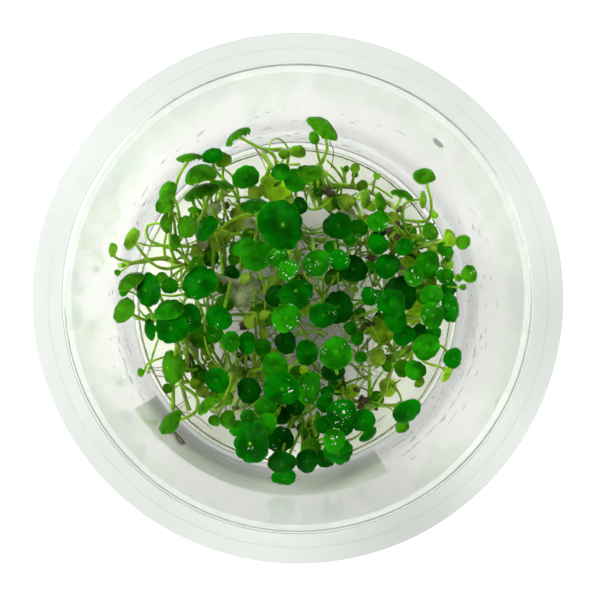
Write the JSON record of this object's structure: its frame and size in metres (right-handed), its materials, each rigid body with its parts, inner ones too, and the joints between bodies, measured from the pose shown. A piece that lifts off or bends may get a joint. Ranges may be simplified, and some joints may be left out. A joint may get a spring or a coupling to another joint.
{
  "type": "whorled pennywort",
  "caption": "Round clear plastic culture cup, open at the top, with nutrient jelly in the bottom and creeping pennywort stems carrying round scalloped leaves inside it.",
  "frame": {"origin": "centre of the cup's base, on the surface the cup stands on", "axes": "+Z up out of the cup's mouth; +X right and +Y up in the picture, which looks down into the cup"},
  "size_m": [0.1, 0.1, 0.062],
  "materials": {
    "clear_plastic": "clear moulded plastic, faint green-grey tint, smooth, with fine dried splash marks low on the wall",
    "jelly": "clear wet nutrient jelly, slightly cloudy",
    "label": "bare pale grey-green label film, satin",
    "stem": "living stem, light green, brown at the nodes",
    "leaf": "living leaf, deep green, glossy and wet, pale spot where the stalk meets the blade",
    "leaf_light": "young living leaf, yellow-green, glossy"
  },
  "bodies": {
    "root": {"cup": "clear_plastic", "gel": "jelly", "label": "label", "runner_01": "stem", "runner_02": "stem", "runner_03": "stem", "runner_04": "stem", "runner_05": "stem", "runner_06": "stem", "runner_07": "stem", "runner_08": "stem", "runner_09": "stem", "leaf_01": "leaf", "leaf_02": "leaf", "leaf_03": "leaf", "leaf_04": "leaf", "leaf_05": "leaf_light", "leaf_06": "leaf_light", "leaf_07": "leaf", "leaf_08": "leaf", "leaf_09": "leaf", "leaf_10": "leaf", "leaf_11": "leaf", "leaf_12": "leaf", "leaf_13": "leaf_light", "leaf_14": "leaf", "leaf_15": "leaf", "leaf_16": "leaf_light", "leaf_17": "leaf_light", "leaf_18": "leaf", "leaf_19": "leaf_light", "leaf_20": "leaf", "leaf_21": "leaf", "leaf_22": "leaf", "leaf_23": "leaf", "leaf_24": "leaf", "leaf_25": "leaf_light", "leaf_26": "leaf_light", "leaf_27": "leaf", "leaf_28": "leaf", "leaf_29": "leaf", "leaf_30": "leaf", "leaf_31": "leaf", "leaf_32": "leaf", "leaf_33": "leaf_light", "leaf_34": "leaf", "leaf_35": "leaf", "leaf_36": "leaf", "leaf_37": "leaf", "leaf_38": "leaf", "leaf_39": "leaf", "leaf_40": "leaf", "leaf_41": "leaf", "leaf_42": "leaf", "leaf_43": "leaf", "leaf_44": "leaf", "leaf_45": "leaf", "leaf_46": "leaf", "leaf_47": "leaf", "leaf_48": "leaf"}
  },
  "joints": []
}
